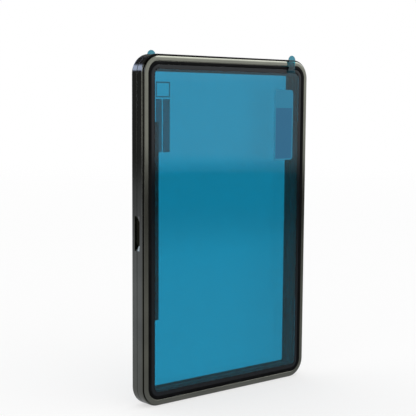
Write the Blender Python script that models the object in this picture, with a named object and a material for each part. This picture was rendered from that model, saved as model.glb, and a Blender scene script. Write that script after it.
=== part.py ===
"""Graded card protector case: two metal half frames that close round a card slab.

Sizes are in metres, Z is up, and the case stands on its bottom edge with its front window
facing -Y. Every ring of the case is one rounded rectangle, moved in from the outer wall by
an inset. Every depth is measured outwards from the parting plane of the halves, at y = 0,
so both halves are made by the same functions with side -1 for the front and +1 for the rear.
"""

import math

import bmesh
import bpy

# Outer shape of the closed case
CASE_WIDTH = 0.0970
CASE_HEIGHT = 0.1500
CAVITY_DEPTH = 0.0062
CORNER_RADIUS = 0.0085
LEAST_CORNER_RADIUS = 0.0004
CORNER_STEPS = 10
FIT_GAP = 0.00025

# Metal frames: wall, raised bezel bead, inner flange
WALL_CHAMFER = 0.0003
BEZEL_STEP = 0.0006
BEZEL_PROUD = 0.00055
BEZEL_WIDTH = 0.00215
BEZEL_OUTER_ROUNDING = 0.0012
BEZEL_INNER_ROUNDING = 0.0002
BEZEL_ROUNDING_STEPS = 6
FLANGE_WIDTH = 0.00155
TONGUE_INSET = 0.0009
TONGUE_WIDTH = 0.0006
TONGUE_HEIGHT = 0.0010

# Pry notch in the left wall, across the parting line, with a ramp in each front corner
NOTCH_HALF_DEPTH = 0.0017
NOTCH_LENGTH = 0.0146
NOTCH_CUT = 0.0020
NOTCH_RAMP_LENGTH = 0.0029
NOTCH_RAMP_DROP = 0.0010
CUT_OVERRUN = 0.0005

# Magnets in pockets of the parting faces
MAGNET_WIDTH = 0.0015
MAGNET_LENGTH = 0.0080
MAGNET_POCKET_FLOOR = 0.0007
MAGNET_HEIGHT_SHARES = (-0.36, -0.13, 0.13, 0.36)

# Clear panels and what bonds and trims them
PANEL_THICKNESS = 0.0008
PANEL_RECESS = 0.0005
TAPE_THICKNESS = 0.0003
TAPE_MARGIN = 0.0003
SEAL_HEIGHT = 0.0002
SEAL_LIP_HEIGHT = 0.0001
SEAL_WIDTH = 0.00125
SEAL_ARC_STEPS = 8
BORDER_WIDTH = 0.0015
BORDER_THICKNESS = 0.0001

# Liner and side pads round the slab
LINER_WIDTH = 0.0016
PAD_THICKNESS = 0.0012
PAD_LENGTH = 0.0850
PAD_RAISE = 0.0046

# Peel-off films with their pull tabs
FILM_THICKNESS = 0.00015
TAB_WIDTH = 0.0049
TAB_SIDE_INSET = 0.0113
TAB_RISE = 0.0019
TAB_END_STEPS = 10

# Insets from the outer wall
bezel_inner = BEZEL_STEP + BEZEL_WIDTH
flange_inner = bezel_inner + FLANGE_WIDTH
tongue_inner = TONGUE_INSET + TONGUE_WIDTH
magnet_middle = (tongue_inner + FIT_GAP + flange_inner) / 2
seal_outer = bezel_inner + FIT_GAP
seal_inner = seal_outer + SEAL_WIDTH
seal_middle = (seal_outer + seal_inner) / 2
border_outer = seal_inner + FIT_GAP
border_inner = border_outer + BORDER_WIDTH
film_inset = border_inner + FIT_GAP
liner_outer = flange_inner + FIT_GAP
liner_inner = liner_outer + LINER_WIDTH
pad_outer = liner_inner + FIT_GAP
pad_inner = pad_outer + PAD_THICKNESS

# Depths from the parting plane
parting_depth = FIT_GAP / 2
panel_back = CAVITY_DEPTH / 2
panel_face = panel_back + PANEL_THICKNESS
crest_depth = panel_face + PANEL_RECESS
wall_depth = crest_depth - BEZEL_PROUD
tape_face = panel_back - FIT_GAP
tape_back = tape_face - TAPE_THICKNESS
flange_face = tape_back - FIT_GAP
pocket_depth = flange_face - MAGNET_POCKET_FLOOR
magnet_back = pocket_depth - FIT_GAP
liner_face = panel_back - FIT_GAP
trim_back = panel_face + FIT_GAP

half_width = CASE_WIDTH / 2
mid_height = CASE_HEIGHT / 2

FRONT = -1
REAR = 1

METAL_GRAY = ("metal_gray", (0.19, 0.19, 0.18, 1.0), 0.38, 1.0)
BLACK_RUBBER = ("black_rubber", (0.012, 0.013, 0.015, 1.0), 0.55, 0.0)
BLACK_PRINT = ("black_print", (0.015, 0.016, 0.018, 1.0), 0.12, 0.0)
BLACK_FOAM = ("black_foam", (0.02, 0.02, 0.02, 1.0), 0.9, 0.0)
CLEAR_ACRYLIC = ("clear_acrylic", (0.92, 0.96, 0.97, 0.3), 0.05, 0.0)
BLUE_FILM = ("blue_film", (0.05, 0.42, 0.60, 0.6), 0.15, 0.0)
NICKEL = ("nickel", (0.62, 0.60, 0.57, 1.0), 0.25, 1.0)


def clear_scene():
    """Removes whatever objects the file opened with."""
    for old in list(bpy.data.objects):
        bpy.data.objects.remove(old, do_unlink=True)


def make_material(finish):
    """A Principled material from a (name, colour, roughness, metallic) finish."""
    name, colour, roughness, metallic = finish
    material = bpy.data.materials.get(name)
    if material is None:
        material = bpy.data.materials.new(name)
        material.use_nodes = True
        shader = material.node_tree.nodes["Principled BSDF"]
        shader.inputs["Base Color"].default_value = colour
        shader.inputs["Roughness"].default_value = roughness
        shader.inputs["Metallic"].default_value = metallic
        shader.inputs["Alpha"].default_value = colour[3]
    return material


def add_object(name, work, finish):
    """Turns a closed bmesh into a named object with outward faces."""
    bmesh.ops.recalc_face_normals(work, faces=work.faces)
    mesh = bpy.data.meshes.new(name)
    work.to_mesh(mesh)
    work.free()
    made = bpy.data.objects.new(name, mesh)
    bpy.context.collection.objects.link(made)
    if finish is not None:
        mesh.materials.append(make_material(finish))
    return made


def half_name(side, piece):
    """The node name of a piece of one half."""
    return ("front_" if side == FRONT else "rear_") + piece


def corner_arc(corner, inset):
    """One corner of the case's outline at an inset: points (x, z), counterclockwise."""
    radius = max(CORNER_RADIUS - inset, LEAST_CORNER_RADIUS)
    sign_x, sign_z = ((1, 1), (-1, 1), (-1, -1), (1, -1))[corner]
    centre_x = sign_x * (half_width - inset - radius)
    centre_z = mid_height + sign_z * (mid_height - inset - radius)
    points = []
    for step in range(CORNER_STEPS + 1):
        angle = math.radians(90) * (corner + step / CORNER_STEPS)
        points.append((centre_x + radius * math.cos(angle), centre_z + radius * math.sin(angle)))
    return points


def outline(inset):
    """The whole rounded rectangle at an inset, from the top right corner round."""
    return [point for corner in range(4) for point in corner_arc(corner, inset)]


def add_loop(work, points, depth, side):
    """Adds vertices for (x, z) points at one depth of a half."""
    return [work.verts.new((x, side * depth, z)) for x, z in points]


def bridge(work, loop_a, loop_b):
    """Joins two closed loops of equal length with quads."""
    count = len(loop_a)
    for here in range(count):
        ahead = (here + 1) % count
        work.faces.new((loop_a[here], loop_a[ahead], loop_b[ahead], loop_b[here]))


def make_ring(name, profile, side, finish):
    """A ring whose section is the closed profile of (inset, depth) points."""
    work = bmesh.new()
    loops = [add_loop(work, outline(inset), depth, side) for inset, depth in profile]
    for here, loop in enumerate(loops):
        bridge(work, loop, loops[(here + 1) % len(loops)])
    return add_object(name, work, finish)


def make_flat_ring(name, outer, inner, back, face, side, finish):
    """A ring of rectangular section between two insets and two depths."""
    profile = [(outer, back), (outer, face), (inner, face), (inner, back)]
    return make_ring(name, profile, side, finish)


def add_box(work, x_range, y_range, z_range):
    """Adds a closed box to a bmesh."""
    corners = [work.verts.new((x, y, z)) for z in z_range for y in y_range for x in x_range]
    faces = ((0, 1, 3, 2), (4, 6, 7, 5), (0, 4, 5, 1), (2, 3, 7, 6), (0, 2, 6, 4), (1, 5, 7, 3))
    for face in faces:
        work.faces.new([corners[index] for index in face])


def cut(target, cutter):
    """Takes a hidden cutter out of a target with a live Boolean."""
    cutter.hide_render = True
    cutter.display_type = "WIRE"
    knife = target.modifiers.new(cutter.name, "BOOLEAN")
    knife.operation = "DIFFERENCE"
    knife.solver = "EXACT"
    knife.object = cutter


def bezel_rounding(centre_inset, width, drop, start_angle):
    """A quarter ellipse from or to the bezel bead's crest, as (inset, depth) points."""
    points = []
    for step in range(BEZEL_ROUNDING_STEPS + 1):
        angle = start_angle - math.radians(90) * step / BEZEL_ROUNDING_STEPS
        depth = crest_depth - drop * (1 - math.sin(angle))
        points.append((centre_inset + width * math.cos(angle), depth))
    return points


def frame_profile(side):
    """Section of a metal frame: wall, chamfer, step, bead, flange and the joint at its foot."""
    profile = [(0, parting_depth), (0, wall_depth - WALL_CHAMFER), (WALL_CHAMFER, wall_depth)]
    outer, inner = BEZEL_OUTER_ROUNDING, BEZEL_INNER_ROUNDING
    profile += bezel_rounding(BEZEL_STEP + outer, outer, BEZEL_PROUD, math.radians(180))
    profile += bezel_rounding(bezel_inner - inner, inner, inner, math.radians(90))
    profile += [(bezel_inner, flange_face), (flange_inner, flange_face)]
    profile += [(flange_inner, parting_depth)]
    if side == FRONT:
        near, far, end = TONGUE_INSET, tongue_inner, -TONGUE_HEIGHT
    else:
        near, far, end = TONGUE_INSET - FIT_GAP, tongue_inner + FIT_GAP, TONGUE_HEIGHT + FIT_GAP
    profile += [(far, parting_depth), (far, end), (near, end), (near, parting_depth)]
    return profile


def notch_ring(work, x, front_reach):
    """Four corners of the notch at one x: rear low, rear high, front high and front low."""
    rear_reach = NOTCH_LENGTH / 2
    corners = [(NOTCH_HALF_DEPTH, -rear_reach), (NOTCH_HALF_DEPTH, rear_reach)]
    corners += [(-NOTCH_HALF_DEPTH, front_reach), (-NOTCH_HALF_DEPTH, -front_reach)]
    return [work.verts.new((x, y, mid_height + z)) for y, z in corners]


def notch_cutter():
    """The pry notch: a square-ended pocket in the left wall, with a ramp in each front corner."""
    work = bmesh.new()
    reach = NOTCH_LENGTH / 2
    ramp_reach = reach - NOTCH_RAMP_LENGTH
    mouth = notch_ring(work, -half_width - CUT_OVERRUN, reach)
    rim = notch_ring(work, -half_width, reach)
    shoulder = notch_ring(work, -half_width + NOTCH_RAMP_DROP, ramp_reach)
    floor = notch_ring(work, -half_width + NOTCH_CUT, ramp_reach)
    bridge(work, mouth, rim)
    bridge(work, shoulder, floor)
    work.faces.new((rim[0], rim[1], shoulder[1], shoulder[0]))
    work.faces.new((rim[2], rim[3], shoulder[3], shoulder[2]))
    for rear, front in ((1, 2), (0, 3)):
        work.faces.new((rim[rear], rim[front], shoulder[rear]))
        work.faces.new((rim[front], shoulder[front], shoulder[rear]))
    work.faces.new(mouth)
    work.faces.new(floor)
    return add_object("notch_cutter", work, None)


def magnet_places():
    """Name, middle (x, z) and half sizes (x, z) of each magnet of a half."""
    across, along = MAGNET_WIDTH / 2, MAGNET_LENGTH / 2
    places = []
    for word, sign in (("left", -1), ("right", 1)):
        for count, share in enumerate(MAGNET_HEIGHT_SHARES, 1):
            middle = (sign * (half_width - magnet_middle), mid_height + share * CASE_HEIGHT)
            places.append((f"{word}_magnet_{count}", middle, (across, along)))
    for word, sign in (("bottom", -1), ("top", 1)):
        middle = (0, mid_height + sign * (mid_height - magnet_middle))
        places.append((f"{word}_magnet", middle, (along, across)))
    return places


def add_magnet_box(work, place, side, clearance, back, face):
    """Adds one magnet's block to a bmesh, grown sideways by a clearance."""
    _, (x, z), (half_x, half_z) = place
    reach_x, reach_z = half_x + clearance, half_z + clearance
    depths = sorted((side * back, side * face))
    add_box(work, (x - reach_x, x + reach_x), depths, (z - reach_z, z + reach_z))


def pocket_cutter(side):
    """The blocks that cut every magnet pocket of a half, open at the parting face."""
    work = bmesh.new()
    for place in magnet_places():
        add_magnet_box(work, place, side, FIT_GAP, parting_depth - CUT_OVERRUN, pocket_depth)
    return add_object(half_name(side, "magnet_pockets"), work, None)


def make_frame(side, notch):
    """A metal half frame with its magnet pockets and its share of the pry notch."""
    frame = make_ring(half_name(side, "frame"), frame_profile(side), side, METAL_GRAY)
    cut(frame, pocket_cutter(side))
    cut(frame, notch)


def make_magnets(side):
    """The bar magnets, flush with the parting face of their half."""
    for place in magnet_places():
        work = bmesh.new()
        add_magnet_box(work, place, side, 0, parting_depth, magnet_back)
        add_object(half_name(side, place[0]), work, NICKEL)


def make_panel(side):
    """The clear window panel, dropped into the bezel and bonded to the flange."""
    work = bmesh.new()
    back = add_loop(work, outline(seal_outer), panel_back, side)
    face = add_loop(work, outline(seal_outer), panel_face, side)
    bridge(work, back, face)
    work.faces.new(back)
    work.faces.new(face)
    add_object(half_name(side, "panel"), work, CLEAR_ACRYLIC)


def seal_profile():
    """Section of the window seal: a low dome on two short lips."""
    profile = [(seal_inner, trim_back), (seal_outer, trim_back)]
    dome_base = trim_back + SEAL_LIP_HEIGHT
    for step in range(SEAL_ARC_STEPS + 1):
        angle = math.radians(180) * (1 - step / SEAL_ARC_STEPS)
        rise = (SEAL_HEIGHT - SEAL_LIP_HEIGHT) * math.sin(angle)
        profile.append((seal_middle + SEAL_WIDTH / 2 * math.cos(angle), dome_base + rise))
    return profile


def make_panel_trim(side):
    """The bonding tape behind a panel, and the seal and printed border in front of it."""
    tape_outer, tape_inner = bezel_inner + TAPE_MARGIN, flange_inner - TAPE_MARGIN
    make_flat_ring(
        half_name(side, "panel_tape"), tape_outer, tape_inner, tape_back, tape_face, side, BLACK_FOAM
    )
    make_ring(half_name(side, "window_seal"), seal_profile(), side, BLACK_RUBBER)
    border_face = trim_back + BORDER_THICKNESS
    make_flat_ring(
        half_name(side, "border_mask"), border_outer, border_inner, trim_back, border_face, side, BLACK_PRINT
    )


def make_liner(side):
    """The soft liner ring that lines the slab's cavity."""
    make_flat_ring(
        half_name(side, "liner"), liner_outer, liner_inner, parting_depth, liner_face, side, BLACK_RUBBER
    )


def make_side_pads(side):
    """The two raised pads that centre the slab between the long sides."""
    low = mid_height + PAD_RAISE - PAD_LENGTH / 2
    depths = sorted((side * parting_depth, side * liner_face))
    for word, sign in (("left_pad", -1), ("right_pad", 1)):
        work = bmesh.new()
        edges = sorted((sign * (half_width - pad_outer), sign * (half_width - pad_inner)))
        add_box(work, edges, depths, (low, low + PAD_LENGTH))
        add_object(half_name(side, word), work, BLACK_RUBBER)


def tab_rows():
    """Height and depth of the pull tab's back face, from the film's edge over the bezel."""
    rows = [
        (film_inset, trim_back),
        (border_inner, trim_back + BORDER_THICKNESS + FIT_GAP),
        (seal_inner, trim_back + SEAL_LIP_HEIGHT + FIT_GAP),
        (seal_middle, trim_back + SEAL_HEIGHT + FIT_GAP),
        (bezel_inner, crest_depth + FIT_GAP),
        (TAB_WIDTH / 2 - TAB_RISE, crest_depth + FIT_GAP),
    ]
    return [(CASE_HEIGHT - inset, depth) for inset, depth in rows]


def tab_end(middle_x, height):
    """The round end of the pull tab, from its +X edge over the top to its -X edge."""
    radius = TAB_WIDTH / 2
    points = []
    for step in range(1, TAB_END_STEPS):
        angle = math.radians(180) * step / TAB_END_STEPS
        points.append((middle_x + radius * math.cos(angle), height + radius * math.sin(angle)))
    return points


def make_film(side):
    """The blue film on a panel, with a tab that runs over the bezel and past the top edge."""
    work = bmesh.new()
    middle_x = -side * (half_width - TAB_SIDE_INSET)
    edges_x = (middle_x + TAB_WIDTH / 2, middle_x - TAB_WIDTH / 2)
    rows = tab_rows()
    strip = [add_loop(work, [(x, height) for x in edges_x], depth, side) for height, depth in rows]
    arcs = [add_loop(work, corner_arc(corner, film_inset), trim_back, side) for corner in range(4)]
    work.faces.new(arcs[0] + strip[0] + arcs[1] + arcs[2] + arcs[3])
    for lower, upper in zip(strip, strip[1:]):
        work.faces.new((lower[0], lower[1], upper[1], upper[0]))
    end_height, end_depth = rows[-1]
    end = add_loop(work, tab_end(middle_x, end_height), end_depth, side)
    work.faces.new([strip[-1][1], strip[-1][0]] + end)
    grown = bmesh.ops.extrude_face_region(work, geom=work.faces[:])
    lifted = [item for item in grown["geom"] if isinstance(item, bmesh.types.BMVert)]
    bmesh.ops.translate(work, verts=lifted, vec=(0, side * FILM_THICKNESS, 0))
    add_object(half_name(side, "film"), work, BLUE_FILM)


def make_half(side, notch):
    """All the pieces of one half of the case."""
    make_frame(side, notch)
    make_magnets(side)
    make_panel(side)
    make_panel_trim(side)
    make_liner(side)
    make_side_pads(side)
    make_film(side)


clear_scene()
pry_notch = notch_cutter()
make_half(FRONT, pry_notch)
make_half(REAR, pry_notch)
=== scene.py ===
"""Looks of a graded card protector case: two grey metal half frames held shut by magnets, with
clear windows, black trim, a soft liner and blue protective films.

Every object is in metres in the CAD's own frame: +Z up, -Y out of the front window, and the
parting plane of the halves at y = 0. A ring of the case is set by its insets from the outer wall
and its depths from the parting plane, so the front half is side -1 and the rear half is side +1.
"""

import math

import bmesh
import bpy
import numpy as np
from mathutils import Matrix, Vector


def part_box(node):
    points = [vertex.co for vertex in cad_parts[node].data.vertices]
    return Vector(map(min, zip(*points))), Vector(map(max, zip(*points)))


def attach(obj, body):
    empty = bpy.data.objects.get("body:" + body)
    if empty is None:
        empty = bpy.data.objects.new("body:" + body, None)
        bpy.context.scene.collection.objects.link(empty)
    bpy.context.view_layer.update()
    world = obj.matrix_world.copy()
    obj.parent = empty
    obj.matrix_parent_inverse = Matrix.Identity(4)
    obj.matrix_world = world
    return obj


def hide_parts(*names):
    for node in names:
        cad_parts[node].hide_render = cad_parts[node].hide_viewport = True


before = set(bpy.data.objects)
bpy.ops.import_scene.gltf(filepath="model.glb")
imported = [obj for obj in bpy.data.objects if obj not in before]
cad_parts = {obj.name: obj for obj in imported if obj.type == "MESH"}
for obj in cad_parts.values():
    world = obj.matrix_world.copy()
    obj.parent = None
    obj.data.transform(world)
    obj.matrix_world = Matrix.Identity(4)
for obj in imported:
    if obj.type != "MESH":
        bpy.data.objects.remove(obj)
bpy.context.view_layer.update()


# Half frames
# Each half is a ring of bead-blasted, grey anodised metal: an outer wall with an eased edge, a narrow
# shadow groove whose shade is painted into the metal's colour, a raised bezel bead and an inner flange
# for the window. The parting faces hold the magnets and a tongue and groove. A pry notch with two ramps
# is cut in the left wall.

CORNER_RADIUS = 0.0085
CORNER_STEPS = 24
PARTING_ROUND = 0.0001
PARTING_STEPS = 4
EDGE_RADIUS = 0.0022
EDGE_ANGLES = 168, 152
EDGE_DROP = 0.00028
EDGE_STEPS = 8
GROOVE_DEPTH = 0.0006
BEZEL_STEP = 0.0007
BEZEL_WIDTH = 0.00205
BEZEL_OUTER_ROUND = 0.0012
BEZEL_INNER_ROUND = 0.0001
BEZEL_OUTER_STEPS, BEZEL_INNER_STEPS = 14, 6
BEZEL_PROUD = 0.00055
BEZEL_SHOULDER = 0.0001
FLANGE_WIDTH = 0.00155
FLANGE_BEHIND_PANEL = 0.0008
POCKET_CLEARANCE = 0.00025
TONGUE_INSET = 0.0009
TONGUE_WIDTH = 0.0006
TONGUE_HEIGHT = 0.0010
NOTCH_HALF_DEPTH = 0.0017
NOTCH_HALF_LENGTH = 0.0073
NOTCH_CUT = 0.0020
NOTCH_LIP = 0.00012
RAMP_LENGTH = 0.0029
RAMP_DROP = 0.00062
# The groove's value of -1 marks painted shade, which darkens the metal's colour there; the others are real
# wear.
EDGE_WEAR, BEZEL_WEAR, GROOVE_PAINTED_SHADE = 0.5, 0.3, -1
NO_LIMIT = 1.0
WELD = 1e-7
SHARP_ANGLE = 30
SIDES = {"front": -1, "rear": 1}
LEFT_WALL = 3
# The part that a column has in the notch, and the kind that a point of the section is.
PLAIN, LIP, RIM, END, BROW, FLOOR = range(6)
RING, POCKET, JOINT = range(3)

rear_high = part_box("rear_frame")[1]
half_width, case_height, crest_depth = rear_high.x, rear_high.z, rear_high.y
mid_height = case_height / 2
panel_low, panel_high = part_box("rear_panel")
panel_back, panel_face = panel_low.y, panel_high.y
magnet_low, magnet_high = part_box("rear_right_magnet_4")
parting_depth, magnet_back = magnet_low.y, magnet_high.y
bezel_inner = BEZEL_STEP + BEZEL_WIDTH
flange_inner = bezel_inner + FLANGE_WIDTH
flange_face = panel_back - FLANGE_BEHIND_PANEL
pocket_outer = half_width - magnet_high.x - POCKET_CLEARANCE
pocket_inner = half_width - magnet_low.x + POCKET_CLEARANCE
wall_depth = crest_depth - BEZEL_PROUD


def round_edge(inset, depth, radius, start, end, steps):
    """Points of a round edge: its centre plus the radius along (cos a, sin a), a going from start to end.
    A pair of radii, one across and one in depth, makes it an ellipse."""
    angle = np.radians(np.linspace(start, end, steps + 1))
    return [inset, depth] + radius * np.column_stack([np.cos(angle), np.sin(angle)])


def side_stations(half_run, pockets, notch):
    """Columns along a straight side: place from its middle, whether in a pocket, and its part in the notch.
    A pocket's end is there twice, once outside and once inside, so that its end wall is square."""
    stations = [(-half_run, 0, PLAIN), (half_run, 0, PLAIN)] + list(notch)
    for start, end in pockets:
        stations += [(start, 0, PLAIN), (start, 1, PLAIN), (end, 1, PLAIN), (end, 0, PLAIN)]
    return sorted(stations, key=lambda station: station[0])


def case_path(end_pockets=(), side_pockets=(), notch=()):
    """The case's outer outline, anticlockwise by its bottom, right, top and left walls: points, outward
    normals and the columns' flags. A side runs along its tangent from its middle, and a corner point is the
    corner's centre plus the radius along (cos a, sin a)."""
    centre = np.array([0, mid_height])
    points, normals, flags = [], [], []
    for turn, (reach, run) in enumerate(((mid_height, half_width), (half_width, mid_height)) * 2):
        angle = math.radians(90) * (turn - 1)
        normal = np.array([math.cos(angle), math.sin(angle)])
        tangent = np.array([-normal[1], normal[0]])
        pockets = end_pockets if turn % 2 == 0 else side_pockets
        half_run = run - CORNER_RADIUS
        stations = np.array(side_stations(half_run, pockets, notch if turn == LEFT_WALL else ()))
        points.append(centre + normal * reach + stations[:, :1] * tangent)
        normals.append(np.tile(normal, (len(stations), 1)))
        flags.append(stations[:, 1:])
        bend = angle + np.radians(np.linspace(0, 90, CORNER_STEPS + 1)[1:-1])
        around = np.column_stack([np.cos(bend), np.sin(bend)])
        corner = centre + normal * (reach - CORNER_RADIUS) + tangent * half_run
        points.append(corner + CORNER_RADIUS * around)
        normals.append(around)
        flags.append(np.zeros((len(bend), 2)))
    return np.concatenate(points), np.concatenate(normals), np.concatenate(flags)


def sweep(points, normals, insets, depths, side):
    """Grid of points round the case: a column's outline point moved in along its normal by each row's inset,
    at each row's depth from the parting plane."""
    insets = np.broadcast_to(insets, (len(points), np.shape(insets)[-1]))
    flat = points[:, None] - insets[..., None] * normals[:, None]
    return np.stack([flat[..., 0], side * np.broadcast_to(depths, insets.shape), flat[..., 1]], -1)


def grid_mesh(name, grid, closed=(True, True), lengths=None):
    """A mesh of quads over a grid of points, joined end to end where closed. Lengths along the grid's two
    directions, one more than its points, become the UV map."""
    count = grid.shape[:2]
    index = np.arange(count[0] * count[1]).reshape(count)
    ahead, across = np.roll(index, -1, 0), np.roll(index, -1, 1)
    quads = np.stack([index, ahead, np.roll(ahead, -1, 1), across], -1)
    quads = quads[: count[0] - (not closed[0]), : count[1] - (not closed[1])]
    mesh = bpy.data.meshes.new(name)
    mesh.from_pydata(grid.reshape(-1, 3).tolist(), [], quads.reshape(-1, 4).tolist())
    if lengths is not None:
        here = np.indices(quads.shape[:2])
        corners = [(0, 0), (1, 0), (1, 1), (0, 1)]
        uv = [[lengths[0][here[0] + u], lengths[1][here[1] + v]] for u, v in corners]
        layer = mesh.uv_layers.new(name="along_ring")
        layer.data.foreach_set("uv", np.array(uv).transpose(2, 3, 0, 1).astype(np.float32).ravel())
    return mesh


def finish_mesh(mesh):
    """Welds points that meet, closes open ends, drops faces of no area, and turns the faces outwards."""
    work = bmesh.new()
    work.from_mesh(mesh)
    bmesh.ops.remove_doubles(work, verts=work.verts, dist=WELD)
    bmesh.ops.dissolve_degenerate(work, edges=work.edges, dist=WELD)
    bmesh.ops.holes_fill(work, edges=work.edges, sides=0)
    bmesh.ops.recalc_face_normals(work, faces=work.faces)
    work.to_mesh(mesh)
    work.free()
    mesh.shade_smooth()
    mesh.set_sharp_from_angle(angle=math.radians(SHARP_ANGLE))
    return mesh


def add_piece(mesh, body, slot, material, *nodes):
    """Puts a mesh into the scene as a piece that rides on a body and stands for CAD nodes. Its normals
    follow its larger faces, so flat faces stay flat up to their round edges."""
    piece = bpy.data.objects.new(mesh.name, mesh)
    bpy.context.scene.collection.objects.link(piece)
    mesh.materials.append(material)
    piece.modifiers.new("flat_faces", "WEIGHTED_NORMAL").keep_sharp = True
    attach(piece, body)
    if nodes:
        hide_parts(*nodes)


def along(points):
    """Distance gone at each point of a closed line, with the whole length as its last value."""
    steps = np.linalg.norm(np.roll(points, -1, 0) - points, axis=1)
    return np.concatenate([[0], np.cumsum(steps)])


class Shade:
    """A socket of a material's nodes. Operators on it add Math nodes, and node() adds any other node."""

    def __init__(self, tree, socket=None):
        self.tree, self.socket = tree, socket

    def node(self, kind, settings=None, sockets=None, output=0):
        """Adds a node, gives it its settings, then its sockets' values or links, and returns one output."""
        made = self.tree.nodes.new(kind)
        for name, value in (settings or {}).items():
            setattr(made, name, value)
        for name, value in (sockets or {}).items():
            if isinstance(value, Shade):
                self.tree.links.new(value.socket, made.inputs[name])
            else:
                made.inputs[name].default_value = value
        return Shade(self.tree, made.outputs[output] if len(made.outputs) else None)

    def maths(self, operation, first, second):
        """A Math node on two values or links."""
        return self.node("ShaderNodeMath", {"operation": operation}, {0: first, 1: second})

    def __add__(self, other):
        return self.maths("ADD", self, other)

    def __radd__(self, other):
        return self.maths("ADD", other, self)

    def __sub__(self, other):
        return self.maths("SUBTRACT", self, other)

    def __rsub__(self, other):
        return self.maths("SUBTRACT", other, self)

    def __mul__(self, other):
        return self.maths("MULTIPLY", self, other)

    def __rmul__(self, other):
        return self.maths("MULTIPLY", other, self)

    def __gt__(self, other):
        return self.maths("GREATER_THAN", self, other)

    def __lt__(self, other):
        return self.maths("LESS_THAN", self, other)

    def ramp(self, low, high):
        """0 below low and 1 above high, with a smooth rise between."""
        settings = {"interpolation_type": "SMOOTHSTEP"}
        return self.node("ShaderNodeMapRange", settings, {"Value": self, "From Min": low, "From Max": high})

    def blend(self, factor, first, second):
        """A mix of two colours."""
        return self.node("ShaderNodeMix", {"data_type": "RGBA"}, {0: factor, 6: first, 7: second}, 2)

    def noise(self, place, scale, detail=2.0):
        """A noise value about 0.5 at a number of lumps per metre."""
        return self.node("ShaderNodeTexNoise", {}, {"Vector": place, "Scale": scale, "Detail": detail})

    def place(self):
        """Object coordinates in metres."""
        return self.node("ShaderNodeTexCoord", output="Object")

    def axis(self, name):
        """One of the object coordinates, in metres."""
        return self.node("ShaderNodeSeparateXYZ", {}, {0: self.place()}, name)

    def bump(self, height, distance):
        """A normal from a height that a distance scales."""
        return self.node("ShaderNodeBump", {}, {"Height": height, "Distance": distance})


def make_material(name):
    """An empty material and the Shade that adds its nodes."""
    material = bpy.data.materials.new(name)
    material.use_nodes = True
    material.node_tree.nodes.clear()
    return material, Shade(material.node_tree)


def dress(shade, **sockets):
    """Ends a material in a Principled shader with these sockets, their underscores read as spaces."""
    named = {name.replace("_", " "): value for name, value in sockets.items()}
    shader = shade.node("ShaderNodeBsdfPrincipled", {}, named)
    shade.node("ShaderNodeOutputMaterial", {}, {"Surface": shader})


METAL_TONE = (0.190, 0.195, 0.165, 1.0)
METAL_DARK_TONE = (0.165, 0.170, 0.145, 1.0)
METAL_WORN_TONE = (0.25, 0.255, 0.23, 1.0)
# Painted shade: the groove's metal is coloured near black in place of the shade that falls in it.
GROOVE_PAINTED_SHADE_TONE = (0.008, 0.008, 0.008, 1.0)
METAL_ROUGHNESS, STREAK_ROUGHNESS, CLOUD_ROUGHNESS = 0.11, 0.015, 0.02
CLOUD_LUMPS, RUBBED_LUMPS, GRAIN_LUMPS = 90.0, 700.0, 5200.0
STREAK_LUMPS = (60.0, 9000.0, 1.0)
GRAIN_HEIGHT = 0.0000008
CLOUD_CHANGE, RUBBED_CHANGE, GROOVE_SHADE_CHANGE = (0.3, 0.7), (0.42, 0.62), (0.0, 0.6)
# Painted shade in the groove: full above these heights, weaker nearer the foot, where light from the table
# gets into it.
GROOVE_FOOT, GROOVE_FOOT_SHARE = (0.055, 0.082), 0.35

metal, shade = make_material("bead_blasted_metal")
place = shade.place()
cloud = shade.noise(place, CLOUD_LUMPS, detail=4.0)
ring_map = shade.node("ShaderNodeUVMap", {"uv_map": "along_ring"})
drawn = shade.node("ShaderNodeVectorMath", {"operation": "MULTIPLY"}, {0: ring_map, 1: STREAK_LUMPS})
streak = shade.noise(drawn, scale=1.0)
wear_and_shade = shade.node("ShaderNodeAttribute", {"attribute_name": "edge_wear_and_groove_shade"}, output="Fac")
rubbed = (wear_and_shade * shade.noise(place, RUBBED_LUMPS, detail=3.0)).ramp(*RUBBED_CHANGE)
tone = shade.blend(cloud.ramp(*CLOUD_CHANGE), METAL_DARK_TONE, METAL_TONE)
tone = shade.blend(rubbed, tone, METAL_WORN_TONE)
# The groove's darkness is painted shade, laid into the base colour where the attribute is negative.
above_foot = shade.axis("Z").ramp(*GROOVE_FOOT)
groove_shade = (0.0 - wear_and_shade).ramp(*GROOVE_SHADE_CHANGE)
painted_shade = groove_shade * (GROOVE_FOOT_SHARE + (1 - GROOVE_FOOT_SHARE) * above_foot)
dress(
    shade,
    Base_Color=shade.blend(painted_shade, tone, GROOVE_PAINTED_SHADE_TONE),
    Metallic=1.0,
    Roughness=METAL_ROUGHNESS + STREAK_ROUGHNESS * streak + CLOUD_ROUGHNESS * cloud,
    Normal=shade.bump(shade.noise(place, GRAIN_LUMPS, detail=1.0), GRAIN_HEIGHT),
)


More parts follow.
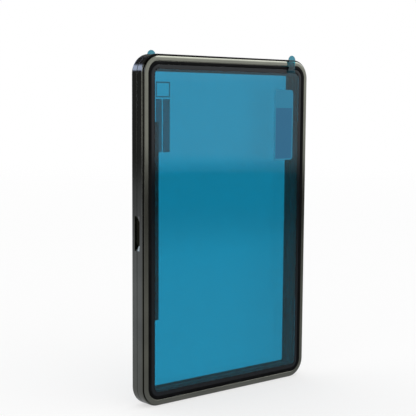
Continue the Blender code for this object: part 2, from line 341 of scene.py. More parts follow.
def frame_section(side):
    """Section of a half frame, row by row: inset, depth, how far the notch may move it, wear and kind. The
    wear value is the metal's real wear on its edges and bezel, and -1 in the groove, where it marks painted
    shade that darkens the metal's colour."""
    if side == SIDES["front"]:
        near, far, end = TONGUE_INSET, TONGUE_INSET + TONGUE_WIDTH, -TONGUE_HEIGHT
    else:
        near, end = TONGUE_INSET - POCKET_CLEARANCE, TONGUE_HEIGHT + POCKET_CLEARANCE
        far = TONGUE_INSET + TONGUE_WIDTH + POCKET_CLEARANCE
    rows = []

    def add(points, limit=0, wear_and_shade=0, kind=RING):
        rows.extend([*point, limit, wear_and_shade, kind] for point in points)

    edge_depth = parting_depth + PARTING_ROUND
    parting_edge = round_edge(PARTING_ROUND, edge_depth, PARTING_ROUND, 270, 180, PARTING_STEPS)
    add(parting_edge, NO_LIMIT, EDGE_WEAR)
    add([(0, NOTCH_HALF_DEPTH)], NO_LIMIT)
    add([(0, NOTCH_HALF_DEPTH)], NOTCH_LIP)
    add([(0, NOTCH_HALF_DEPTH + NOTCH_LIP)])
    eased = round_edge(0, 0, EDGE_RADIUS, *EDGE_ANGLES, EDGE_STEPS)
    eased += [-eased[0, 0], wall_depth - EDGE_DROP - eased[-1, 1]]
    add(eased, wear_and_shade=EDGE_WEAR)
    groove_floor = wall_depth - GROOVE_DEPTH
    # The groove's rows carry the mark for painted shade.
    add([(eased[-1, 0], groove_floor), (BEZEL_STEP, groove_floor)], wear_and_shade=GROOVE_PAINTED_SHADE)
    outer, inner = BEZEL_OUTER_ROUND, BEZEL_INNER_ROUND
    shoulder = wall_depth + BEZEL_SHOULDER
    radii = outer, crest_depth - shoulder
    add(round_edge(BEZEL_STEP + outer, shoulder, radii, 180, 90, BEZEL_OUTER_STEPS), wear_and_shade=BEZEL_WEAR)
    inner_edge = round_edge(bezel_inner - inner, crest_depth - inner, inner, 90, 0, BEZEL_INNER_STEPS)
    add(inner_edge, wear_and_shade=BEZEL_WEAR)
    add([(bezel_inner, flange_face), (flange_inner, flange_face), (flange_inner, parting_depth)])
    add([(pocket_inner, parting_depth)])
    add([(pocket_inner, parting_depth), (pocket_outer, parting_depth)], kind=POCKET)
    add([(pocket_outer, parting_depth), (far, parting_depth)], NO_LIMIT)
    add([(far, end), (near, end)], NO_LIMIT, kind=JOINT)
    add([(near, parting_depth)], NO_LIMIT)
    return np.array(rows)


def frame_grid(side, path):
    """The half frame's grid: its section swept round the case, sunk in the magnet pockets and pushed in by
    the notch. The notch's ramp goes down evenly from its front outer corner, and then drops to the floor."""
    points, normals, flags = path
    insets, depths, limits, _, kinds = frame_section(side).T
    in_pocket, role = flags[:, :1] == 1, flags[:, 1:]
    depths = np.where(in_pocket & (kinds == POCKET), magnet_back + POCKET_CLEARANCE, depths)
    depths = np.where((role >= BROW) & (kinds == JOINT), parting_depth, depths)
    forward = (NOTCH_HALF_DEPTH - side * depths) / (2 * NOTCH_HALF_DEPTH)
    forward = np.clip(forward, 0, 1)
    push = np.select(
        [role == RIM, role == END, role == BROW, role == FLOOR],
        [np.minimum(NOTCH_LIP, RAMP_DROP * (1 - forward)), RAMP_DROP * (1 - forward), RAMP_DROP, NOTCH_CUT],
        0,
    )
    insets = np.maximum(insets, np.minimum(push, limits))
    grid = sweep(points, normals, insets, depths, side)
    upper = np.sign(points[:, 1:] - mid_height)
    brow_height = mid_height + upper * (NOTCH_HALF_LENGTH - RAMP_LENGTH * forward)
    grid[..., 2] = np.where(role >= BROW, brow_height, grid[..., 2])
    return grid


magnet_boxes = {name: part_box(name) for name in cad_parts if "magnet" in name}
side_pockets, end_pockets = [], []
for name, (low, high) in magnet_boxes.items():
    if name.startswith("front_right"):
        side_pockets.append((low.z - mid_height - POCKET_CLEARANCE, high.z - mid_height + POCKET_CLEARANCE))
    if name == "front_top_magnet":
        end_pockets.append((low.x - POCKET_CLEARANCE, high.x + POCKET_CLEARANCE))
brow_middle = NOTCH_HALF_LENGTH - RAMP_LENGTH / 2
notch_half = [(NOTCH_HALF_LENGTH + NOTCH_LIP, LIP), (NOTCH_HALF_LENGTH, RIM), (NOTCH_HALF_LENGTH, END)]
notch_half += [(brow_middle, BROW), (brow_middle, FLOOR)]
notch = [(-reach, 0, role) for reach, role in notch_half]
notch += [(reach, 0, role) for reach, role in notch_half[::-1]]
frame_path = case_path(end_pockets, side_pockets, notch)
for half, side in SIDES.items():
    section = frame_section(side)
    lengths = along(frame_path[0]), along(section[:, :2])
    mesh = grid_mesh(f"{half}_frame_metal", frame_grid(side, frame_path), lengths=lengths)
    # Each point carries its row's edge wear, and the groove's points carry -1 to mark painted shade.
    wear_and_shade_rows = np.tile(section[:, 3], len(frame_path[0])).astype(np.float32)
    mesh.attributes.new("edge_wear_and_groove_shade", "FLOAT", "POINT").data.foreach_set("value", wear_and_shade_rows)
    add_piece(finish_mesh(mesh), f"{half}_half", "metal_gray", metal, f"{half}_frame")


# Magnets
# Twenty sintered bar magnets, nickel plated, are glued flush into the pockets of the parting faces, ten
# to a half, where each meets its opposite and holds the halves shut. Their edges are tumbled round.

MAGNET_EDGE = 0.00018
BLOCK_EDGE_STEPS = 4
NICKEL_TONE = (0.62, 0.60, 0.55, 1.0)
NICKEL_DULL_TONE = (0.50, 0.48, 0.44, 1.0)


def patchy_finish(name, tones, lumps, detail, change, roughness, unevenness, grain, **sockets):
    """A finish that turns from its first tone to its second as a noise passes through change. Its roughness
    is a base plus the unevenness times the noise, and its grain is a second noise's lumps and height."""
    material, shade = make_material(name)
    place = shade.place()
    patches = shade.noise(place, lumps, detail)
    grain_lumps, grain_height = grain
    dress(
        shade,
        Base_Color=shade.blend(patches.ramp(*change), *tones),
        Roughness=roughness + unevenness * patches,
        Normal=shade.bump(shade.noise(place, grain_lumps), grain_height),
        **sockets,
    )
    return material


nickel = patchy_finish(
    "nickel_plate",
    tones=(NICKEL_TONE, NICKEL_DULL_TONE),
    lumps=900.0,
    detail=3.0,
    change=(0.35, 0.7),
    roughness=0.18,
    unevenness=0.2,
    grain=(4000.0, 0.000003),
    Metallic=1.0,
)


def rounded_block(name, low, high, radius):
    """A block with round edges: a ball's points pushed out from the middle, each octant by the block's half
    sizes less the radius, so the flat faces open between the octants."""
    low, high = np.array(low), np.array(high)
    quarter = np.radians(np.linspace(0, 90, BLOCK_EDGE_STEPS + 1))
    turn = np.concatenate([quarter + math.radians(90) * octant for octant in range(4)])
    signs = np.array([(1, 1), (-1, 1), (-1, -1), (1, -1)]).repeat(BLOCK_EDGE_STEPS + 1, 0)
    rise = np.concatenate([quarter - math.radians(90), quarter])
    up = np.array([-1, 1]).repeat(BLOCK_EDGE_STEPS + 1)
    ball = np.stack(
        [
            np.cos(turn)[:, None] * np.cos(rise),
            np.sin(turn)[:, None] * np.cos(rise),
            np.broadcast_to(np.sin(rise), (len(turn), len(rise))),
        ],
        -1,
    )
    octant = np.stack(
        [
            np.broadcast_to(signs[:, :1], ball.shape[:2]),
            np.broadcast_to(signs[:, 1:], ball.shape[:2]),
            np.broadcast_to(up, ball.shape[:2]),
        ],
        -1,
    )
    grid = (low + high) / 2 + octant * ((high - low) / 2 - radius) + radius * ball
    return finish_mesh(grid_mesh(name, grid, closed=(True, False)))


for name, (low, high) in magnet_boxes.items():
    mesh = rounded_block(f"{name}_plated", low, high, MAGNET_EDGE)
    add_piece(mesh, name.split("_")[0] + "_half", "nickel", nickel, name)


# Bonding tapes
# A die-cut frame of closed-cell foam tape sits on each flange and bonds the window panel to it. The CAD
# rings have its shape and only need the foam's skin.

FOAM_TONE = (0.012, 0.012, 0.013, 1.0)
FOAM_CELL_TONE = (0.028, 0.028, 0.029, 1.0)
FOAM_CELLS, FOAM_CELL_HEIGHT = 6000.0, 0.00002

foam, shade = make_material("foam_tape")
cells = shade.node("ShaderNodeTexVoronoi", {}, {"Vector": shade.place(), "Scale": FOAM_CELLS}, "Distance")
dress(
    shade,
    Base_Color=shade.blend(cells, FOAM_TONE, FOAM_CELL_TONE),
    Roughness=0.85,
    Normal=shade.bump(cells, FOAM_CELL_HEIGHT),
)
for half in SIDES:
    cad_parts[f"{half}_panel_tape"].material_slots[0].material = foam


# Window panels
# Each window is a 0.8 mm sheet of clear acrylic, laser cut to the bezel's inner line, its edges flame
# polished, and pressed onto the tape from outside. Its film clings to it with no air between them to
# mirror light, so its refraction is set lower than bare acrylic's.

PANEL_EDGE, PANEL_EDGE_STEPS = 0.00012, 4
ACRYLIC_TINT = (0.985, 0.992, 0.990, 1.0)
ACRYLIC_REFRACTION = 1.25

acrylic, shade = make_material("clear_acrylic_sheet")
dress(shade, Base_Color=ACRYLIC_TINT, Roughness=0.0, Transmission_Weight=1.0, IOR=ACRYLIC_REFRACTION)
plain_path = case_path()[:2]


def ring_mesh(name, section, side, closed=True):
    """A section of insets and depths carried round the case: a ring, or a plate where it isn't closed."""
    grid = sweep(*plain_path, section[:, 0], section[:, 1], side)
    return finish_mesh(grid_mesh(name, grid, closed=(True, closed)))


edge, inner = PANEL_EDGE, half_width - panel_high.x + PANEL_EDGE
panel_section = np.concatenate(
    [
        round_edge(inner, panel_back + edge, edge, 270, 180, PANEL_EDGE_STEPS),
        round_edge(inner, panel_face - edge, edge, 180, 90, PANEL_EDGE_STEPS),
    ]
)
for half, side in SIDES.items():
    mesh = ring_mesh(f"{half}_panel_acrylic", panel_section, side, closed=False)
    add_piece(mesh, f"{half}_half", "clear_acrylic", acrylic, f"{half}_panel")


# Window seals
# A moulded black rubber bead closes the joint between bezel and window: a low dome on two short lips.

SEAL_LIP_HEIGHT = 0.0001
SEAL_GAP = 0.00003
SEAL_STEPS = 16
RUBBER_TONE = (0.0020, 0.0022, 0.0026, 1.0)
RUBBER_DUSTY_TONE = (0.0050, 0.0052, 0.0058, 1.0)

rubber = patchy_finish(
    "black_rubber_skin",
    tones=(RUBBER_TONE, RUBBER_DUSTY_TONE),
    lumps=160.0,
    detail=5.0,
    change=(0.45, 0.8),
    roughness=0.36,
    unevenness=0.12,
    grain=(3500.0, 0.000004),
    Specular_IOR_Level=0.05,
)


def ring_numbers(node):
    """A ring node's outer inset and its two depths, from its CAD box."""
    low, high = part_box(node)
    return half_width - high.x, min(abs(low.y), abs(high.y)), max(abs(low.y), abs(high.y))


border_outer = ring_numbers("front_border_mask")[0]
seal_outer, seal_back, seal_face = ring_numbers("front_window_seal")
seal_inner = border_outer - SEAL_GAP
seal_half = (seal_inner - seal_outer) / 2
arch = np.radians(np.linspace(180, 0, SEAL_STEPS + 1))
dome = seal_back + SEAL_LIP_HEIGHT + (seal_face - seal_back - SEAL_LIP_HEIGHT) * np.sin(arch)
seal_section = np.column_stack([seal_outer + seal_half * (1 + np.cos(arch)), dome])
seal_section = np.concatenate([[(seal_inner, seal_back), (seal_outer, seal_back)], seal_section])
for half, side in SIDES.items():
    mesh = ring_mesh(f"{half}_seal_rubber", seal_section, side)
    add_piece(mesh, f"{half}_half", "black_rubber", rubber, f"{half}_window_seal")


# Border masks
# A band of gloss black ink is screen printed round the edge of each window, to hide the tape and flange.

BORDER_WIDTH = 0.0017
BORDER_EDGE = 0.00003
RING_EDGE_STEPS = 3
INK_TONE = (0.0012, 0.0036, 0.0062, 1.0)
INK_THIN_TONE = (0.0020, 0.0042, 0.0058, 1.0)

ink = patchy_finish(
    "gloss_black_ink",
    tones=(INK_TONE, INK_THIN_TONE),
    lumps=300.0,
    detail=3.0,
    change=(0.4, 0.7),
    roughness=0.06,
    unevenness=0.05,
    grain=(1200.0, 0.000002),
    Specular_IOR_Level=0.33,
)


def flat_ring_section(outer, inner, back, face, edge):
    """A rectangular section with its four edges rounded."""
    return np.concatenate(
        [
            round_edge(outer + edge, back + edge, edge, 270, 180, RING_EDGE_STEPS),
            round_edge(outer + edge, face - edge, edge, 180, 90, RING_EDGE_STEPS),
            round_edge(inner - edge, face - edge, edge, 90, 0, RING_EDGE_STEPS),
            round_edge(inner - edge, back + edge, edge, 0, -90, RING_EDGE_STEPS),
        ]
    )


border_back, border_face = ring_numbers("front_border_mask")[1:]
border_inner = border_outer + BORDER_WIDTH
border_section = flat_ring_section(border_outer, border_inner, border_back, border_face, BORDER_EDGE)
for half, side in SIDES.items():
    mesh = ring_mesh(f"{half}_border_ink", border_section, side)
    add_piece(mesh, f"{half}_half", "black_print", ink, f"{half}_border_mask")


# Slab liner and side pads
# A soft black rubber ring lines each half's cavity, and two long pads inside it centre the card slab
# between the sides. Thin lips by the window lap over the slab's edge: one all round the ring, wider ones
# on the rear ring's sides, and one on each front pad.

LINER_WIDTH = 0.0016
LINER_EDGE = 0.00025
LINER_LIP_REACH = 0.0009
SIDE_LIP_REACH = 0.0014
LINER_LIP_GAP = 0.00003
LINER_LIP_EDGE = 0.00006
PAD_EDGE = 0.00035
PAD_LIP_REACH = 0.0016
PAD_LIP_THICKNESS = 0.0003
PAD_LIP_EDGE = 0.0001
LINER_TONE = (0.016, 0.016, 0.024, 1.0)
LINER_RUBBED_TONE = (0.026, 0.026, 0.034, 1.0)

soft_rubber = patchy_finish(
    "soft_liner_rubber",
    tones=(LINER_TONE, LINER_RUBBED_TONE),
    lumps=120.0,
    detail=4.0,
    change=(0.4, 0.75),
    roughness=0.45,
    unevenness=0.15,
    grain=(2600.0, 0.00001),
    Specular_IOR_Level=0.2,
)
liner_outer, liner_back, liner_face = ring_numbers("front_liner")
liner_inner = liner_outer + LINER_WIDTH
lip_inner = liner_inner + LINER_LIP_REACH
lip_back, lip_face = liner_face + LINER_LIP_GAP, panel_back - LINER_LIP_GAP
edge, lip_edge = LINER_EDGE, LINER_LIP_EDGE
liner_section = np.concatenate(
    [
        round_edge(liner_outer + edge, liner_back + edge, edge, 270, 180, RING_EDGE_STEPS),
        round_edge(liner_outer + lip_edge, lip_face - lip_edge, lip_edge, 180, 90, RING_EDGE_STEPS),
        round_edge(lip_inner - lip_edge, lip_face - lip_edge, lip_edge, 90, 0, RING_EDGE_STEPS),
        round_edge(lip_inner - lip_edge, lip_back + lip_edge, lip_edge, 0, -90, RING_EDGE_STEPS),
        [(liner_inner, lip_back)],
        round_edge(liner_inner - edge, liner_back + edge, edge, 0, -90, RING_EDGE_STEPS),
    ]
)
for half, side in SIDES.items():
    mesh = ring_mesh(f"{half}_liner_rubber", liner_section, side)
    add_piece(mesh, f"{half}_half", "black_rubber", soft_rubber, f"{half}_liner")
    for word in ("left", "right"):
        low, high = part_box(f"{half}_{word}_pad")
        mesh = rounded_block(f"{half}_{word}_pad_rubber", low, high, PAD_EDGE)
        add_piece(mesh, f"{half}_half", "black_rubber", soft_rubber, f"{half}_{word}_pad")
for word in ("left", "right"):
    low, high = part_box(f"front_{word}_pad")
    tip = high.x + PAD_LIP_REACH if word == "left" else low.x - PAD_LIP_REACH
    across = sorted([(low.x + high.x) / 2, tip])
    lip_low = across[0], low.y, low.z + PAD_EDGE
    lip_high = across[1], low.y + PAD_LIP_THICKNESS, high.z - PAD_EDGE
    mesh = rounded_block(f"front_{word}_pad_lip", lip_low, lip_high, PAD_LIP_EDGE)
    add_piece(mesh, "front_half", "black_rubber", soft_rubber)
for word, turned in ("left", -1), ("right", 1):
    across = sorted(turned * (half_width - inset) for inset in (liner_inner, liner_inner + SIDE_LIP_REACH))
    lip_low = across[0], lip_back, liner_inner
    lip_high = across[1], lip_face, case_height - liner_inner
    mesh = rounded_block(f"rear_{word}_side_lip", lip_low, lip_high, LINER_LIP_EDGE)
    add_piece(mesh, "rear_half", "black_rubber", soft_rubber)


# Protective films
# A blue polyester film clings to the outside of each window inside the black border, with a round-ended
# pull tab at one corner that bends up over the seal and bezel and past the top edge. It is peeled off
# before the case is used. The tab's end is folded over double to grip, so it is darker than the sheet.

FILM_CORNER = 0.00225
FILM_THICKNESS = 0.00015
FILM_ARC_STEPS = 10
TAB_WIDTH = 0.0044
TAB_SIDE_INSET = 0.0113
TAB_BEND = 0.00035
TAB_COLUMNS = 8
TAB_ROWS = 20
FILM_TINT = (0.045, 0.490, 0.645, 1.0)
FILM_SHADED_TINT = (0.038, 0.438, 0.578, 1.0)
FILM_TAB_TINT = (0.035, 0.220, 0.300, 1.0)
FILM_REFRACTION = 1.42
FILM_WAVES, FILM_WAVE_HEIGHT = 55.0, 0.00002
# Painted shade in the film's tint, where less light comes through: deeper over the low span of heights,
# paler again over the high one, and a little deeper towards the right across the edge span.
FILM_SHADE_LOW, FILM_SHADE_HIGH, FILM_SHADE_EDGE = (0.060, 0.084), (0.098, 0.106), (0.000, 0.030)
FILM_SHADE_EDGE_SHARE = 0.35

film_low, film_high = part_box("front_film")
film_half = film_high.x
film_base = mid_height - film_low.z
film_back = -film_high.y
film_top = mid_height + film_base
tab_tip = film_high.z
tab_lift = -film_low.y - FILM_THICKNESS - film_back

film_sheet, shade = make_material("blue_protective_film")
height = shade.axis("Z")
# The film's tint is darkened here by painted shade, in a band of heights and towards the right.
band = height.ramp(*FILM_SHADE_LOW) * (1 - height.ramp(*FILM_SHADE_HIGH))
painted_shade = band + FILM_SHADE_EDGE_SHARE * shade.axis("X").ramp(*FILM_SHADE_EDGE)
tint = shade.blend(painted_shade, FILM_TINT, FILM_SHADED_TINT)
tint = shade.blend(height.ramp(case_height - TAB_BEND, case_height), tint, FILM_TAB_TINT)
dress(
    shade,
    Base_Color=tint,
    Roughness=0.0,
    Transmission_Weight=1.0,
    IOR=FILM_REFRACTION,
    Normal=shade.bump(shade.noise(shade.place(), FILM_WAVES, detail=1.0), FILM_WAVE_HEIGHT),
)


def rounded_heights(half_height, corner, steps):
    """Heights from the middle of a round-cornered sheet's rows, close together in its corners, and how far
    each row falls short of the full width: the corner radius less the root of its square less the rise's."""
    angle = np.radians(np.linspace(0, 90, steps + 1))
    rise = half_height - corner + corner * np.sin(angle)
    short = corner * (1 - np.cos(angle))
    return np.concatenate([-rise[::-1], rise]), np.concatenate([short[::-1], short])


def thick_sheet(name, grids, thickness):
    """Grids joined into one sheet, copied outwards along Y by its thickness and closed at the rim."""
    work = bmesh.new()
    for grid in grids:
        work.from_mesh(grid_mesh(name, grid, closed=(False, False)))
    bmesh.ops.remove_doubles(work, verts=work.verts, dist=WELD)
    bmesh.ops.dissolve_degenerate(work, edges=work.edges, dist=WELD)
    grown = bmesh.ops.extrude_face_region(work, geom=work.faces[:])
    lifted = [item for item in grown["geom"] if isinstance(item, bmesh.types.BMVert)]
    bmesh.ops.translate(work, verts=lifted, vec=(0, thickness, 0))
    mesh = bpy.data.meshes.new(name)
    work.to_mesh(mesh)
    work.free()
    return finish_mesh(mesh)


def film_mesh(name, side):
    """The film's sheet, a grid of rows that narrow in the corners, and its tab, a strip whose depth nears
    its full lift as 1 - exp(-distance / bend). The tab's round end is radius times cos a across and radius
    times sin a up."""
    tab_middle = -side * (half_width - TAB_SIDE_INSET)
    radius = TAB_WIDTH / 2
    tab_across = np.linspace(-1, 1, TAB_COLUMNS + 1)
    columns = (tab_middle + tab_across * radius) / (film_half - FILM_CORNER)
    columns = np.unique(np.concatenate([[-1, 1], columns]))
    heights, short = rounded_heights(film_base, FILM_CORNER, FILM_ARC_STEPS)
    x = columns * (film_half - short[:, None])
    z = np.broadcast_to(mid_height + heights[:, None], x.shape)
    sheet = np.stack([x, np.full_like(x, side * film_back), z], -1)
    round_start = tab_tip - radius
    turn = np.radians(np.linspace(0, 90, FILM_ARC_STEPS + 1))
    straight = np.linspace(film_top, round_start, TAB_ROWS)
    z = np.concatenate([straight, round_start + radius * np.sin(turn[1:])])
    half_strip = np.concatenate([np.full(TAB_ROWS, radius), radius * np.cos(turn[1:])])
    depth = film_back + tab_lift * (1 - np.exp(-(z - film_top) / TAB_BEND))
    x = tab_middle + half_strip[:, None] * tab_across
    z, y = np.broadcast_to(z[:, None], x.shape), np.broadcast_to(side * depth[:, None], x.shape)
    tab = np.stack([x, y, z], -1)
    return thick_sheet(name, (sheet, tab), side * FILM_THICKNESS)


for half, side in SIDES.items():
    mesh = film_mesh(f"{half}_film_sheet", side)
    add_piece(mesh, f"{half}_film", "blue_film", film_sheet, f"{half}_film")


# Film markings
# The front film carries a small blank paper label in two tones on its face by the tab. The rear film has
# a square outline over two plain bars, printed on its inner face. They come off with the films.

MARK_DEPTH = 0.00013
LABEL_GAP = 0.00001
PATCH_THICKNESS = 0.00005
LABEL_LEFT, LABEL_RIGHT = 0.0271, 0.0388
LABEL_LOW, LABEL_HIGH = 0.1041, 0.1363
LABEL_CORNER = 0.0015
PATCH_CORNER_STEPS = 6
LABEL_SPLIT = 0.1280
LABEL_MARGIN = 0.0007
LABEL_PAPER = (0.004, 0.195, 0.335, 1.0)
LABEL_BLOCK = (0.004, 0.125, 0.250, 1.0)
FIBRE_LUMPS, FIBRE_HEIGHT = 2500.0, 0.000004
MARK_TONE = (0.40, 0.22, 0.32, 1.0)
MARK_PATCHY_TONE = (0.46, 0.26, 0.38, 1.0)
MARK_LUMPS, MARK_COVER = 800.0, 0.62

label_paper, shade = make_material("blank_label_paper")
across, height = shade.axis("X"), shade.axis("Z")
in_block = (height < LABEL_SPLIT) * (height > LABEL_LOW + LABEL_MARGIN)
in_block = in_block * (across < LABEL_RIGHT - LABEL_MARGIN)
in_block = in_block * (across > LABEL_LEFT + LABEL_MARGIN)
fibre = shade.noise(shade.place(), FIBRE_LUMPS, detail=3.0)
dress(
    shade,
    Base_Color=shade.blend(in_block, LABEL_PAPER, LABEL_BLOCK),
    Specular_IOR_Level=0.3,
    Roughness=0.6,
    Normal=shade.bump(fibre, FIBRE_HEIGHT),
)
mark_ink, shade = make_material("film_marking_ink")
patchy = shade.noise(shade.place(), MARK_LUMPS, detail=3.0)
mark_tone = shade.blend(patchy, MARK_TONE, MARK_PATCHY_TONE)
dress(shade, Base_Color=mark_tone, Roughness=0.5, Alpha=MARK_COVER)


def patch_mesh(name, left, right, low, high, corner, y, thickness):
    """A round-cornered patch that grows from y by its thickness: rows that narrow in the corners."""
    heights, short = rounded_heights((high - low) / 2, corner, PATCH_CORNER_STEPS)
    across = np.array([-1, 1]) * ((right - left) / 2 - short[:, None])
    x = (left + right) / 2 + across
    z = np.broadcast_to((low + high) / 2 + heights[:, None], x.shape)
    return thick_sheet(name, [np.stack([x, np.full_like(x, y), z], -1)], thickness)


label_edges = LABEL_LEFT, LABEL_RIGHT, LABEL_LOW, LABEL_HIGH, LABEL_CORNER
label_back = SIDES["front"] * (film_back + FILM_THICKNESS + LABEL_GAP)
label = patch_mesh("front_film_label", *label_edges, label_back, SIDES["front"] * PATCH_THICKNESS)
add_piece(label, "front_film", "blue_film", label_paper)

MARK_LEFT, MARK_RIGHT = -0.0357, -0.0281
SQUARE_LOW, SQUARE_HIGH = 0.1321, 0.1387
BAR_LOW, BAR_HIGH = 0.1087, 0.1314
BAR_INNER_EDGES = (-0.0325, -0.0319)
LINE_WIDTH = 0.0005
MARK_CORNER = 0.0002
mark_boxes = {
    "bar_left": (MARK_LEFT, BAR_INNER_EDGES[0], BAR_LOW, BAR_HIGH),
    "bar_right": (BAR_INNER_EDGES[1], MARK_RIGHT, BAR_LOW, BAR_HIGH),
    "line_low": (MARK_LEFT, MARK_RIGHT, SQUARE_LOW, SQUARE_LOW + LINE_WIDTH),
    "line_high": (MARK_LEFT, MARK_RIGHT, SQUARE_HIGH - LINE_WIDTH, SQUARE_HIGH),
    "line_left": (MARK_LEFT, MARK_LEFT + LINE_WIDTH, SQUARE_LOW, SQUARE_HIGH),
    "line_right": (MARK_RIGHT - LINE_WIDTH, MARK_RIGHT, SQUARE_LOW, SQUARE_HIGH),
}
mark_back = SIDES["rear"] * (film_back - MARK_DEPTH)
for name, edges in mark_boxes.items():
    mark = patch_mesh(f"rear_film_{name}", *edges, MARK_CORNER, mark_back, SIDES["rear"] * PATCH_THICKNESS)
    add_piece(mark, "rear_film", "blue_film", mark_ink)


# Studio
# A pale round floor fades into a white surround. The rest is seen only in reflections: a table top that
# is dark round the case and bright far off, dim walls with a lighter band and a window in the back one,
# a dark ceiling, and a softbox to the right.

FLOOR_RADIUS = 3.0
FLOOR_FADE = (0.7, 2.2)
FLOOR_DROP = 0.00005
FLOOR_TONE = (0.95, 0.95, 0.95, 1.0)
FLOOR_SHADOW = 0.4
WHITE = (1.0, 1.0, 1.0, 1.0)
DISC_COLUMNS, DISC_RINGS = 96, 9
TABLE_RADIUS = 3.1
TABLE_CENTRE = (-0.20, 0.25)
# Distances from the table's centre: it dims over the first, and brightens over the fade and the step.
TABLE_DIMMING, TABLE_FADE, TABLE_STEP = (0.35, 1.35), (1.95, 3.05), (1.97, 2.07)
TABLE_BRIGHT, TABLE_DIM = 0.43, 0.10
TABLE_STEP_SHARE = 0.22
TABLE_BLUE = (1.06, 1.09, 1.27, 1.0)
TABLE_BLUE_CHANGE = (-0.10, 0.15)
DIM_PATCH_CENTRE = (-0.60, 0.70)
DIM_PATCH_EDGE, DIM_PATCH_DEPTH = (0.05, 0.40), 0.4

world = bpy.data.worlds.new("white_surround")
bpy.context.scene.world = world
world.use_nodes = True
world.node_tree.nodes["Background"].inputs["Color"].default_value = WHITE
world.node_tree.nodes["Background"].inputs["Strength"].default_value = 1.0


def add_stage(mesh, material, reflected_only=True):
    """A stage object. One that is only reflected is hidden from every ray but a glossy one."""
    made = bpy.data.objects.new(mesh.name, mesh)
    bpy.context.scene.collection.objects.link(made)
    mesh.materials.append(material)
    if reflected_only:
        made.visible_camera = made.visible_diffuse = made.visible_transmission = False
        made.visible_shadow = made.visible_volume_scatter = False


def disc_mesh(name, radius, centre, height):
    """A flat disc that faces up: rings of points at shares of the radius, round its centre."""
    turn = np.radians(np.linspace(0, 360, DISC_COLUMNS, endpoint=False))
    share = np.linspace(0, 1, DISC_RINGS)[:, None]
    x, y = centre[0] + radius * share * np.cos(turn), centre[1] + radius * share * np.sin(turn)
    grid = np.stack([x, y, np.full_like(x, height)], -1)
    mesh = grid_mesh(name, grid, closed=(False, True))
    work = bmesh.new()
    work.from_mesh(mesh)
    bmesh.ops.remove_doubles(work, verts=work.verts, dist=WELD)
    work.to_mesh(mesh)
    work.free()
    return mesh


def distance_from(shade, centre):
    """Distance of a point from a centre on the floor."""
    sockets = {0: shade.place(), 1: (*centre, 0.0)}
    return shade.node("ShaderNodeVectorMath", {"operation": "DISTANCE"}, sockets, "Value")


floor_paint, shade = make_material("pale_floor")
matt = shade.node("ShaderNodeBsdfDiffuse", {}, {"Color": FLOOR_TONE})
clear = shade.node("ShaderNodeBsdfTransparent")
fade = distance_from(shade, (0.0, 0.0)).ramp(*FLOOR_FADE)
kinds = "Camera", "Glossy", "Transmission"
seen = [shade.node("ShaderNodeLightPath", output=f"Is {kind} Ray") for kind in kinds]
white = shade.node("ShaderNodeEmission", {}, {"Color": WHITE, "Strength": 1.0})
lifted = (seen[0] + seen[1] + seen[2]) * (1 - FLOOR_SHADOW)
matt = shade.node("ShaderNodeMixShader", {}, {0: lifted, 1: matt, 2: white})
mixed = shade.node("ShaderNodeMixShader", {}, {0: fade, 1: matt, 2: clear})
shade.node("ShaderNodeOutputMaterial", {}, {"Surface": mixed})
add_stage(disc_mesh("floor", FLOOR_RADIUS, (0.0, 0.0), -FLOOR_DROP), floor_paint, reflected_only=False)


def glow(shade, colour=WHITE, strength=1.0):
    """Ends a material in an even light of a colour and strength."""
    emission = shade.node("ShaderNodeEmission", {}, {"Color": colour, "Strength": strength})
    shade.node("ShaderNodeOutputMaterial", {}, {"Surface": emission})


table_paint, shade = make_material("reflected_table")
from_centre = distance_from(shade, TABLE_CENTRE)
level = TABLE_BRIGHT - (TABLE_BRIGHT - TABLE_DIM) * from_centre.ramp(*TABLE_DIMMING)
patch = 1 - distance_from(shade, DIM_PATCH_CENTRE).ramp(*DIM_PATCH_EDGE)
level = level * (1 - DIM_PATCH_DEPTH * patch)
fade, step = from_centre.ramp(*TABLE_FADE), from_centre.ramp(*TABLE_STEP)
far = TABLE_STEP_SHARE * step + (1 - TABLE_STEP_SHARE) * fade
level = level + (1 - TABLE_DIM) * far
tint = shade.blend(shade.axis("Y").ramp(*TABLE_BLUE_CHANGE), WHITE, TABLE_BLUE)
glow(shade, tint, level)
add_stage(disc_mesh("reflected_table", TABLE_RADIUS, TABLE_CENTRE, -FLOOR_DROP / 2), table_paint)

CARD_RADIUS = 1.5
CARD_COLUMNS, CARD_ROWS = 49, 41
CEILING_HEIGHT = 1.6
# Each card's direction, spread, lowest and highest elevation in degrees, seen from the case.
BACK_WALL_PLACE = 118, 97, -3, 70
WINDOW_PLACE = 108, 16, 1.5, 9
FRONT_WALL_PLACE = 221, 80, -3, 50
SOFTBOX_PLACE = -30, 52, 4, 46
SIDE_WALL_PLACE = 33, 73, -3, 45
WINDOW_NEARER = 0.97
WALL_TONE, WALL_BAND_TONE = (0.06, 0.06, 0.065, 1.0), (1.5, 1.7, 2.6, 1.0)
WALL_BAND_LOW, WALL_BAND_HIGH = (14.0, 18.0), (28.0, 34.0)
WINDOW_TONE = (1.6, 1.85, 2.3, 1.0)
FRONT_WALL_LEVEL, SIDE_WALL_LEVEL, CEILING_LEVEL = 0.33, 0.15, 0.05
SOFTBOX_LEVEL, SOFTBOX_GAIN, SOFTBOX_RISE = 1.2, 3.2, (8.0, 36.0)


def card_mesh(name, direction, spread, low, high, radius=CARD_RADIUS):
    """A curved card round the case: its radius along (cos a, sin a), its height the radius times the tangent
    of its elevation."""
    turn = np.radians(np.linspace(direction - spread / 2, direction + spread / 2, CARD_COLUMNS))
    rise = radius * np.tan(np.radians(np.linspace(low, high, CARD_ROWS)))
    x, z = np.meshgrid(radius * np.cos(turn), mid_height + rise, indexing="ij")
    y = np.broadcast_to(radius * np.sin(turn)[:, None], x.shape)
    return grid_mesh(name, np.stack([x, y, z], -1), closed=(False, False))


def elevation(shade):
    """Elevation of a card's point seen from the case, in degrees, from its height over the card radius."""
    slope = (shade.axis("Z") - mid_height) * (1 / CARD_RADIUS)
    return shade.node("ShaderNodeMath", {"operation": "ARCTANGENT"}, {0: slope}) * math.degrees(1)


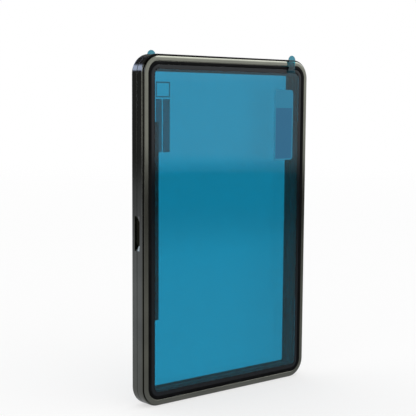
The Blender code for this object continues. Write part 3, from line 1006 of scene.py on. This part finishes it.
back_card, shade = make_material("reflected_back_wall")
raised = elevation(shade)
band = raised.ramp(*WALL_BAND_LOW) * (1 - raised.ramp(*WALL_BAND_HIGH))
glow(shade, shade.blend(band, WALL_TONE, WALL_BAND_TONE))
add_stage(card_mesh("reflected_back_wall", *BACK_WALL_PLACE), back_card)

window_card, shade = make_material("reflected_window")
glow(shade, WINDOW_TONE)
add_stage(card_mesh("reflected_window", *WINDOW_PLACE, WINDOW_NEARER * CARD_RADIUS), window_card)

front_card, shade = make_material("reflected_front_wall")
glow(shade, strength=FRONT_WALL_LEVEL)
add_stage(card_mesh("reflected_front_wall", *FRONT_WALL_PLACE), front_card)

dark_ceiling, shade = make_material("reflected_ceiling")
glow(shade, strength=CEILING_LEVEL)
add_stage(disc_mesh("reflected_ceiling", CARD_RADIUS, (0.0, 0.0), CEILING_HEIGHT), dark_ceiling)

softbox, shade = make_material("reflected_softbox")
glow(shade, strength=SOFTBOX_LEVEL + SOFTBOX_GAIN * elevation(shade).ramp(*SOFTBOX_RISE))
add_stage(card_mesh("reflected_softbox", *SOFTBOX_PLACE), softbox)

side_card, shade = make_material("reflected_side_wall")
glow(shade, strength=SIDE_WALL_LEVEL)
add_stage(card_mesh("reflected_side_wall", *SIDE_WALL_PLACE), side_card)


# Camera
# It stands where the photograph was taken from: to the left and in front of the case, a little above its
# middle, on a long lens. Its place and angles come from fitting the case's edges.

CAMERA_PLACE = (-0.31596, -0.35645, 0.12725)
CAMERA_YAW, CAMERA_PITCH, CAMERA_ROLL = 40.731, 7.012, 0.369
# Lengths in pixels of the photograph's frame.
IMAGE_WIDTH = 416
FOCAL_PIXELS = 1064.3
AXIS_BELOW_CENTRE = 32

yaw, pitch, roll = (math.radians(angle) for angle in (CAMERA_YAW, CAMERA_PITCH, CAMERA_ROLL))
back = Vector((-math.sin(yaw) * math.cos(pitch), -math.cos(yaw) * math.cos(pitch), math.sin(pitch)))
right = Vector((math.cos(yaw), -math.sin(yaw), 0))
up = back.cross(right)
turned_right = math.cos(roll) * right + math.sin(roll) * up
turned_up = -math.sin(roll) * right + math.cos(roll) * up
lens = bpy.data.cameras.new("camera")
lens.lens = lens.sensor_width * FOCAL_PIXELS / IMAGE_WIDTH
lens.shift_y = AXIS_BELOW_CENTRE / IMAGE_WIDTH
lens.clip_start = 0.01
camera = bpy.data.objects.new("camera", lens)
bpy.context.scene.collection.objects.link(camera)
turned = Matrix((turned_right, turned_up, back)).transposed().to_4x4()
camera.matrix_world = Matrix.Translation(CAMERA_PLACE) @ turned
bpy.context.scene.camera = camera
bpy.context.scene.view_settings.view_transform = "Standard"
